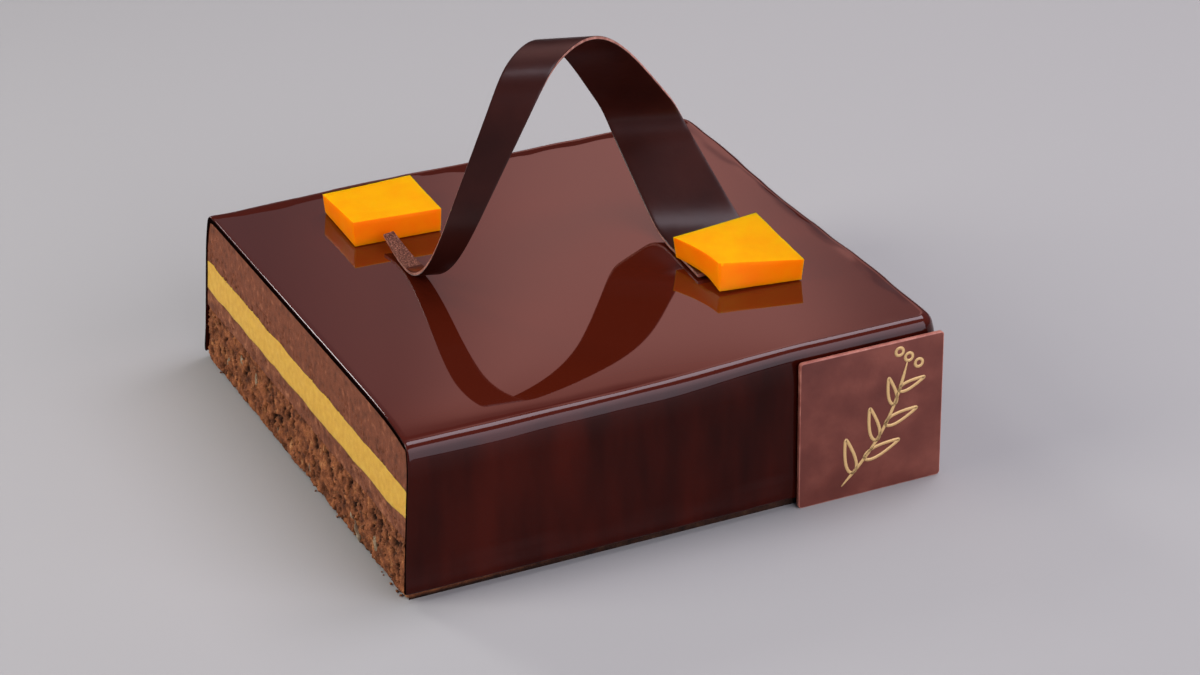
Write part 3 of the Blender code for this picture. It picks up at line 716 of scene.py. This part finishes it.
def add_jelly(name, top, foot, top_heights, foot_heights, bow, sag_end):
    """A block between the corners of its top and foot, with a bowed left side and a sagging foot.

    The corners are plan points and heights over the glaze. The foot sags until sag_end.
    """
    edge_radius, block_size = 0.0007, (0.030, 0.029, 0.008)
    block = bmesh.new()
    bmesh.ops.create_cube(block, size=1.0)
    for axis, count in enumerate((36, 36, 10)):
        lines = [edge for edge in block.edges
                 if abs((edge.verts[0].co - edge.verts[1].co)[axis]) > 1e-6]
        bmesh.ops.subdivide_edges(block, edges=lines, cuts=count - 1, use_grid_fill=True)
    for vert in block.verts:
        across, along, up = (value + 0.5 for value in vert.co)
        foot_reach = smooth(along / sag_end) if sag_end else along
        ends = []
        for outline, heights, reach in ((foot, foot_heights, foot_reach), (top, top_heights, along)):
            x, y = (between([place[axis] for place in outline], across, along) for axis in (0, 1))
            x += bow * 4 * along * (1 - along) * (1 - across)
            ends.append(Vector((x, y, HEIGHT + between(heights, across, float(reach)))))
        spot = ends[0].lerp(ends[1], up)
        heart = Vector((sum(place[0] for place in foot) / 4, sum(place[1] for place in foot) / 4,
                        ends[0].lerp(ends[1], 0.5).z))
        # Edges and corners are drawn in towards the heart, then the sides get their small dents.
        near = sorted(min(share, 1 - share) * size
                      for share, size in zip((across, along, up), block_size))
        pull = max(0.0, 1 - near[1] / edge_radius) ** 2 * max(0.0, 1 - near[0] / edge_radius)
        spot += (heart - spot).normalized() * pull * edge_radius * 0.32
        dent = 0.00007 * noise.noise(spot * 160) + 0.00005 * noise.noise(spot * 420)
        vert.co = spot + (heart - spot).normalized() * (dent + 0.00004)
    bmesh.ops.recalc_face_normals(block, faces=block.faces)
    verts, faces = mesh_lists(block)
    piece = add_piece(name, verts, faces, jelly_top_lit, "mango_" + name)
    piece.data.materials.append(jelly_side_shaded)
    # Faces that look up take the lit copy and the rest take the shaded copy: painted light and shade on
    # the jelly.
    for face in piece.data.polygons:
        face.material_index = 0 if face.normal.z > 0.6 else 1
    piece.data.set_sharp_from_angle(angle=math.radians(50))


add_jelly("jelly_left",
          ((0.0364, 0.1523), (0.0367, 0.1262), (0.0662, 0.1239), (0.0674, 0.1531)),
          ((0.0372, 0.1529), (0.0364, 0.1246), (0.0656, 0.1235), (0.0669, 0.1523)),
          (0.0072, 0.0080, 0.0078, 0.0074), (0.0003,) * 4, 0.0, 0.0)
add_jelly("jelly_right",
          ((0.1210, 0.0696), (0.1258, 0.0476), (0.1520, 0.0403), (0.1520, 0.0728)),
          ((0.1219, 0.0694), (0.1243, 0.0439), (0.1516, 0.0412), (0.1508, 0.0712)),
          (0.0093, 0.0087, 0.0076, 0.0100), (0.0022, 0.0009, 0.0003, 0.0029), 0.0011, 0.42)

# ---------------------------------------------------------------- chocolate ribbon
# Tempered dark chocolate, spread thin, cut as a tapering strip and wound askew round a former while
# it was soft. Its wide faces are glossy, and its cut edges and broken ends are paler and rougher; the
# edges' pale pink is partly the chocolate's own and partly a painted highlight.

# The strip's length, its narrow end's width, what it gains towards its wide end, and its start.
STRIP_LENGTH, STRIP_NARROW, STRIP_GAIN = 0.270, 0.0035, 0.0250
START_X, START_Y, START_Z = 0.0470, 0.1220, 0.0567
# The curve that it was wound in: bends in degrees, each from a start over a run.
bend_along = np.linspace(-0.012, STRIP_LENGTH, 2000)
heading = np.full_like(bend_along, -14.0)
for start, run, turn in ((0.003, 0.029, 27), (0.017, 0.049, 91), (0.086, 0.023, 56),
                         (0.088, 0.077, 80), (0.172, 0.020, 77), (0.209, 0.025, 42)):
    heading += turn * smooth((bend_along - start) / run)
halfway = np.radians((heading[1:] + heading[:-1]) / 2)
step = bend_along[1] - bend_along[0]
curve_back = np.concatenate(([0.0], np.cumsum(-np.cos(halfway) * step)))
curve_rise = np.concatenate(([0.0], np.cumsum(np.sin(halfway) * step)))
curve_back -= np.interp(0.0, bend_along, curve_back)
curve_rise -= np.interp(0.0, bend_along, curve_rise)
azimuth, askew, tilt = math.radians(-25), math.radians(24), math.radians(3)


def ribbon_point(share, side_share):
    """A point of the strip's middle surface, from its narrow end to its wide one and across it."""
    run, side = STRIP_LENGTH * share, side_share * (STRIP_NARROW + STRIP_GAIN * share)
    wound = run * math.cos(askew) - side * math.sin(askew)
    drift, across = run * math.sin(askew), side * math.cos(askew)
    behind = float(np.interp(wound, bend_along, curve_back))
    height = float(np.interp(wound, bend_along, curve_rise))
    tilted = 1.0 - float(smooth((share - 0.74) / 0.16))
    return Vector((START_X + (drift + across) * math.cos(azimuth) - behind * math.sin(azimuth),
                   START_Y + (drift + across) * math.sin(azimuth) + behind * math.cos(azimuth),
                   START_Z + height + math.tan(tilt) * (drift + across * tilted)))


# The strip's edges are eased, and its first and last 4 mm are broken and rough.
cross_shares = np.concatenate(([-0.5, -0.492, -0.475], np.linspace(-0.44, 0.44, 9),
                               [0.475, 0.492, 0.5]))
across = len(cross_shares)
half_depth = [0.00040, 0.00055] + [0.00060] * (across - 4) + [0.00055, 0.00040]
run_shares = np.concatenate(([0.0, 0.0006], np.linspace(0.002, 0.998, 437), [0.9994, 1.0]))
verts = []
for side_sign in (1.0, -1.0):
    for share in run_shares:
        for side_share, half in zip(cross_shares, half_depth):
            centre = ribbon_point(share, side_share)
            ahead = ribbon_point(share + 0.001, side_share) - ribbon_point(share - 0.001, side_share)
            aside = ribbon_point(share, side_share + 0.02) - ribbon_point(share, side_share - 0.02)
            normal = ahead.cross(aside).normalized()
            end = min(share, 1 - share) * STRIP_LENGTH
            rough = 0.00007 * noise.noise(centre * 900) if end < 0.004 else 0.0
            wave = 0.00003 * noise.noise(centre * 90)
            verts.append(centre + normal * side_sign * (half + rough) + normal * wave)
sheet = across * len(run_shares)
faces, _ = skin_faces(len(run_shares), across)
for column in range(across - 1):
    for a in (column, sheet - across + column):
        faces.append((a, a + 1, sheet + a + 1, sheet + a))
ribbon_material, shader = new_material("ribbon_chocolate", (0.042, 0.0085, 0.0055), 0.30, specular=0.30)
mottled(shader, 60.0, [(0.30, (0.025, 0.0045, 0.0028)), (0.70, (0.040, 0.0080, 0.0050))], 0.00003)
# The cut edges' pale pink is partly the chocolate's own colour and partly a painted highlight.
edge_and_highlight_material, shader = new_material("ribbon_edge_and_highlight", (0.36, 0.15, 0.12), 0.45)
mottled(shader, 500.0, [(0.35, (0.26, 0.085, 0.055)), (0.65, (0.55, 0.25, 0.18))], 0.0001)
grain_material, shader = new_material("ribbon_grain", (0.16, 0.055, 0.040), 0.6, specular=0.15)
mottled(shader, 380.0, [(0.38, (0.060, 0.017, 0.010)), (0.52, (0.13, 0.040, 0.024)),
                        (0.66, (0.46, 0.20, 0.13))], 0.0003, source="Grain")
ribbon = add_piece("ribbon_strip", verts, faces, ribbon_material, "chocolate_ribbon")
ribbon.data.materials.append(edge_and_highlight_material)
ribbon.data.materials.append(grain_material)
# The upper side of the narrow end is grainy over this many rows.
GRAIN_ROWS = 36
for face in ribbon.data.polygons:
    if len({vertex < sheet for vertex in face.vertices}) == 2:
        face.material_index = 1
    elif min(face.vertices) % sheet < GRAIN_ROWS * across and face.normal.z > 0:
        face.material_index = 2
ribbon.data.set_sharp_from_angle(angle=math.radians(40))

# ---------------------------------------------------------------- chocolate plaque
# A square tile of cast chocolate that stands on its edge against the front, with a satin, mottled
# face and worn reddish edges. A plain sprig in gold, printed from a transfer sheet, decorates it.
SIDE, THICK = 0.0493, 0.0015
PLAQUE_START, PLAQUE_FRONT = 0.1281, -0.0020
tile_lean = math.radians(0.4)
tile_middle = Vector((PLAQUE_START + SIDE / 2,
                      PLAQUE_FRONT + THICK / 2 + SIDE / 2 * math.sin(tile_lean),
                      SIDE / 2 * math.cos(tile_lean) + THICK / 2 * math.sin(tile_lean)))


def on_tile(point):
    """From the tile's own frame to where it leans against the cake."""
    turned = Vector((point[0], point[1] * math.cos(tile_lean) + point[2] * math.sin(tile_lean),
                     point[2] * math.cos(tile_lean) - point[1] * math.sin(tile_lean)))
    return turned + tile_middle


# The tile's four corners are rounded first, then the rims of both faces are eased.
tile = bmesh.new()
bmesh.ops.create_cube(tile, size=1.0)
for vert in tile.verts:
    vert.co = (vert.co.x * SIDE, vert.co.y * THICK, vert.co.z * SIDE)
corners = [edge for edge in tile.edges if abs((edge.verts[0].co - edge.verts[1].co).y) > THICK / 2]
bmesh.ops.bevel(tile, geom=corners, offset=0.0011, segments=4, affect="EDGES", profile=0.5)
rims = [edge for edge in tile.edges
        if abs(edge.verts[0].co.y - edge.verts[1].co.y) < 1e-7 and abs(edge.calc_face_angle(0)) > 1.0]
bmesh.ops.bevel(tile, geom=rims, offset=0.00032, segments=3, affect="EDGES", profile=0.5)
flat = [abs(face.normal.y) > 0.99 for face in tile.faces]
points, faces = mesh_lists(tile)
plaque_material, shader = new_material("plaque_chocolate", (0.18, 0.042, 0.028), 0.42, specular=0.28)
mottled(shader, 75.0, [(0.30, (0.118, 0.027, 0.018)), (0.50, (0.158, 0.039, 0.026)),
                       (0.70, (0.225, 0.063, 0.041))], 0.00008)
rim_material, shader = new_material("plaque_edge", (0.42, 0.13, 0.085), 0.42)
mottled(shader, 300.0, [(0.35, (0.32, 0.085, 0.055)), (0.65, (0.52, 0.19, 0.13))], 0.00006)
plaque = add_piece("plaque_tile", [on_tile(point) for point in points], faces, plaque_material,
                   "chocolate_plaque")
plaque.data.materials.append(rim_material)
for face, is_flat in zip(plaque.data.polygons, flat):
    face.material_index = 0 if is_flat else 1
plaque.data.set_sharp_from_angle(angle=math.radians(35))

# The gold sprig on the tile: a bent stem with six slim leaves in outline and three berries.
gold_material, shader = new_material("gold_print", (0.78, 0.50, 0.20), 0.42)
set_inputs(shader, {"Metallic": 0.2})
PRINT_HEIGHT, PRINT_ROOT = 0.00006, 0.00002


def stroke(points, width, verts, faces, closed=False):
    """Add a flat raised line of even width through the points, on the tile's front face."""
    base, count = len(verts), len(points)
    for index, (x, z) in enumerate(points):
        before = points[index - 1] if index or closed else points[index]
        after = points[(index + 1) % count] if index < count - 1 or closed else points[index]
        way = Vector((after[0] - before[0], after[1] - before[1])).normalized()
        across = Vector((-way.y, way.x)) * width / 2
        if not closed:
            across *= min(1.0, 0.35 + 6.0 * min(index, count - 1 - index) / count)
        for sign, lift in ((1, 0.0), (1, PRINT_HEIGHT), (-1, PRINT_HEIGHT), (-1, 0.0)):
            verts.append(on_tile((x + sign * across.x, -THICK / 2 - lift + PRINT_ROOT,
                                  z + sign * across.y)))
    for index in range(count if closed else count - 1):
        a, b = base + index * 4, base + (index + 1) % count * 4
        for side in range(4):
            ahead = (side + 1) % 4
            faces.append((a + side, a + ahead, b + ahead, b + side))
    if not closed:
        end = base + (count - 1) * 4
        faces.append((base, base + 1, base + 2, base + 3))
        faces.append((end + 3, end + 2, end + 1, end))


verts, faces = [], []
STEM_POINTS = 40
stem = [(-0.0100 + 0.0215 * share + 0.0034 * math.sin(share * 3.0),
         -0.0205 + 0.0375 * share - 0.0022 * math.sin(share * 3.2))
        for share in np.linspace(0, 1, STEM_POINTS)]
stroke(stem, 0.00115, verts, faces)
for share, sign, size in ((0.14, 1, 0.0122), (0.25, -1, 0.0124), (0.41, 1, 0.0116),
                          (0.53, -1, 0.0112), (0.68, 1, 0.0095), (0.79, -1, 0.0090)):
    start = stem[round(share * (STEM_POINTS - 1))]
    way = math.radians(60) + sign * math.radians(43)
    leaf = []
    for turn in np.linspace(0, 2 * math.pi, 40, endpoint=False):
        length = size * (1 - math.cos(turn)) / 2
        half = size * 0.20 * math.sin(turn) * (0.65 + 0.35 * math.cos(turn))
        leaf.append((start[0] + length * math.cos(way) - half * math.sin(way),
                     start[1] + length * math.sin(way) + half * math.cos(way)))
    stroke(leaf, 0.00105, verts, faces, closed=True)
berry_radius = 0.0013
for x, z in ((0.0125, 0.0188), (0.0160, 0.0160), (0.0092, 0.0212)):
    berry = [(x + berry_radius * math.cos(turn), z + berry_radius * math.sin(turn))
             for turn in np.linspace(0, 2 * math.pi, 18, endpoint=False)]
    stroke(berry, 0.00100, verts, faces, closed=True)
add_piece("gold_sprig", verts, faces, gold_material, None)

# ---------------------------------------------------------------- floor, light and camera
# A plain pale floor under soft studio light: a panel overhead, a broad low one in front, one on the
# left, a small one that glints on the rear edge, and a glowing screen that the glaze mirrors.


def add_stage(name, places, where, material):
    """A flat sheet of the studio, which isn't part of the cake."""
    mesh = bpy.data.meshes.new(name)
    mesh.from_pydata(places, [], [(0, 1, 2, 3)])
    mesh.materials.append(material)
    flat_sheet = bpy.data.objects.new(name, mesh)
    bpy.context.collection.objects.link(flat_sheet)
    flat_sheet.location = where
    return flat_sheet


def add_panel(name, place, target, size, power, colour=(1.0, 1.0, 1.0)):
    """A rectangular light that faces the target."""
    light = bpy.data.lights.new(name, "AREA")
    light.shape = "RECTANGLE"
    light.size, light.size_y = size
    light.energy = power
    light.color = colour
    lamp = bpy.data.objects.new(name, light)
    bpy.context.collection.objects.link(lamp)
    lamp.location = place
    lamp.rotation_euler = (Vector(target) - Vector(place)).to_track_quat("-Z", "Y").to_euler()


floor_material = new_material("floor", (0.46, 0.452, 0.43), 0.8, specular=0.2)[0]
add_stage("floor", [(-3, -3, 0), (3, -3, 0), (3, 3, 0), (-3, 3, 0)], (0, 0, 0), floor_material)
cake_middle = (0.0, 0.0, 0.03)
add_panel("over_panel", (0.49, 0.11, 1.20), (0.04, 0.0, 0.03), (0.60, 1.10), 9.0, (0.93, 0.88, 1.0))
add_panel("front_panel", (0.66, -1.70, 0.86), cake_middle, (2.4, 1.8), 36.0, (0.90, 0.86, 1.0))
add_panel("left_panel", (-1.3, 0.25, 0.75), cake_middle, (0.8, 0.8), 12.0, (1.0, 0.97, 0.94))
add_panel("rear_glint", (-0.58, 1.42, 0.95), cake_middle, (0.34, 0.34), 5.5)

# The screen's middle glows warmly, and its light fades towards its edges.
screen_material = bpy.data.materials.new("back_screen")
screen_material.use_nodes = True
tree = screen_material.node_tree
tree.nodes.remove(tree.nodes["Principled BSDF"])
glow = tree.nodes.new("ShaderNodeEmission")
spread = tree.nodes.new("ShaderNodeTexCoord")
stretch = tree.nodes.new("ShaderNodeMapping")
stretch.vector_type = "TEXTURE"
set_inputs(stretch, {"Rotation": (0.0, math.radians(11), 0.0), "Scale": (0.36, 1.0, 1.18)})
fade = tree.nodes.new("ShaderNodeTexGradient")
fade.gradient_type = "SPHERICAL"
ramp = tree.nodes.new("ShaderNodeValToRGB")
ramp.color_ramp.interpolation = "EASE"
set_stops(ramp, [(0.04, (0.13, 0.18, 0.21)), (0.30, (0.38, 0.27, 0.28)), (0.60, (1.07, 0.55, 0.51))])
wire(tree, (spread, "Object", stretch, "Vector"), (stretch, "Vector", fade, "Vector"),
     (fade, "Fac", ramp, "Fac"), (ramp, "Color", glow, "Color"),
     (glow, "Emission", tree.nodes["Material Output"], "Surface"))
screen = add_stage("back_screen", [(-0.98, 0, -1.0), (0.90, 0, -1.0), (0.90, 0, 0.95), (-0.98, 0, 0.95)],
                   corner + Vector((0.85, 1.45, 1.23)), screen_material)

# A low dark card behind the cake keeps the floor's far end out of the glaze's falling edges.
card_material = new_material("dark_card", (0.012, 0.012, 0.014), 0.9)[0]
card = add_stage("dark_card", [(-0.9, 0, 0), (1.7, 0, 0), (1.7, 0, 0.39), (-0.9, 0, 0.39)],
                 corner + Vector((0.0, 0.95, 0.0)), card_material)
# Only the glaze sees these two. From behind they would stand between the camera and the cake.
screen.visible_camera = False
card.visible_camera = False

# A dim, cool surround fills the shadows.
bpy.context.scene.view_settings.view_transform = "Standard"
world = bpy.data.worlds.new("studio")
bpy.context.scene.world = world
world.use_nodes = True
set_inputs(world.node_tree.nodes["Background"], {"Color": (0.10, 0.12, 0.15, 1.0), "Strength": 1.0})

# The camera stands where the cake's straight edges place the photograph's.
camera = bpy.data.cameras.new("camera")
camera.lens = 104.87
camera.sensor_width = 36.0
camera.clip_start, camera.clip_end = 0.05, 20.0
viewpoint = bpy.data.objects.new("camera", camera)
bpy.context.collection.objects.link(viewpoint)
viewpoint.location = corner + Vector((-0.3145, -0.8084, 0.5332))
viewpoint.rotation_euler = [math.radians(angle) for angle in (62.697, 0.580, -25.344)]
bpy.context.scene.camera = viewpoint
